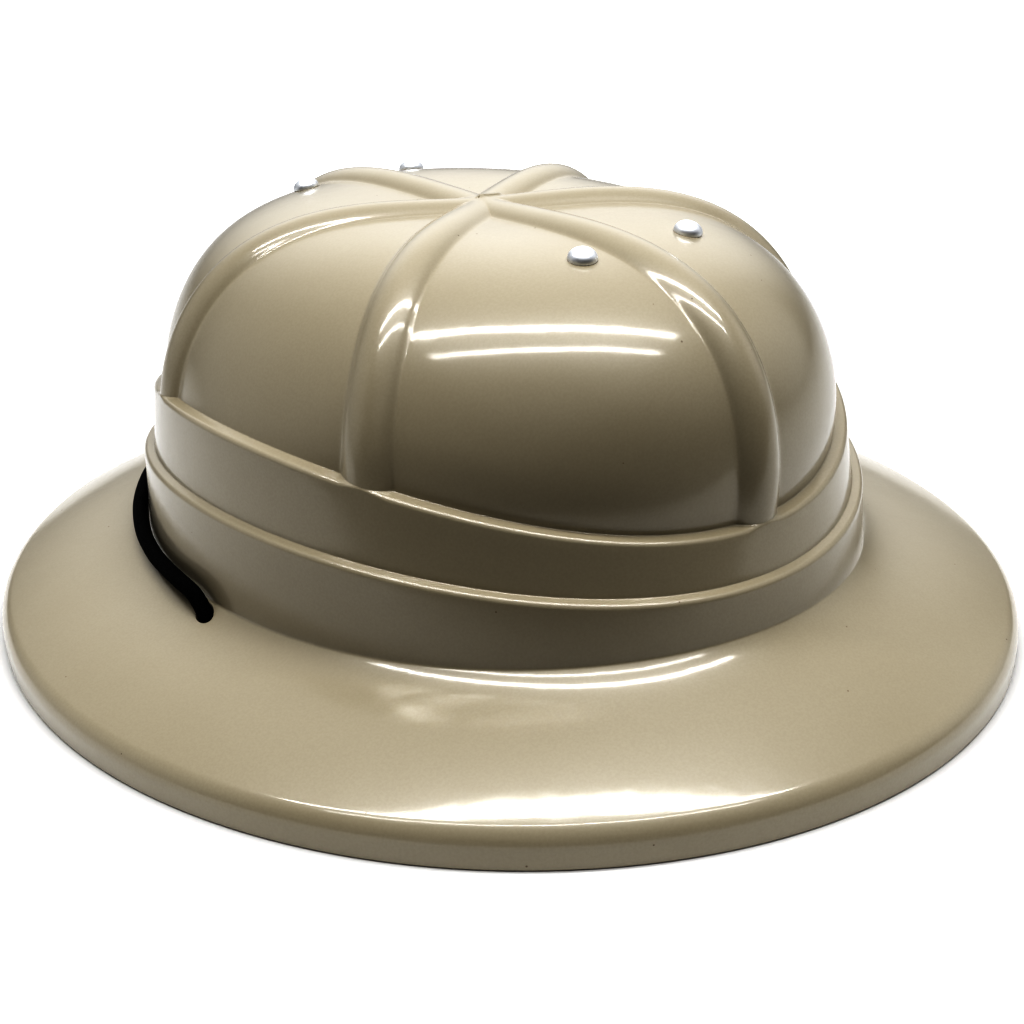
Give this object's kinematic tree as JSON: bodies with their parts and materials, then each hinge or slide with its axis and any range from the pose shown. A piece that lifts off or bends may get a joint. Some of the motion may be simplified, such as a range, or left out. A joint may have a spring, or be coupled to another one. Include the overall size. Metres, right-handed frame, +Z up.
{
  "type": "pith helmet",
  "caption": "Hard moulded pith helmet with a ribbed dome, stepped bands, a sloping round-edged brim, domed vent rivets and a loose elastic chin strap.",
  "frame": {"origin": "on the ground under the middle of the brim", "axes": "+Z up, -Y to the front of the helmet, +X to the wearer's left"},
  "size_m": [0.2918, 0.32, 0.1198],
  "materials": {
    "moulded_plastic": "glossy khaki moulded plastic with small dark specks",
    "rivet_metal": "bright nickel-plated steel",
    "strap_elastic": "black braided round elastic"
  },
  "bodies": {
    "root": {"shell": "moulded_plastic", "vent_rivet_front_left": "rivet_metal", "vent_rivet_front_right": "rivet_metal", "vent_rivet_back_left": "rivet_metal", "vent_rivet_back_right": "rivet_metal", "chin_strap": "strap_elastic"}
  },
  "joints": []
}
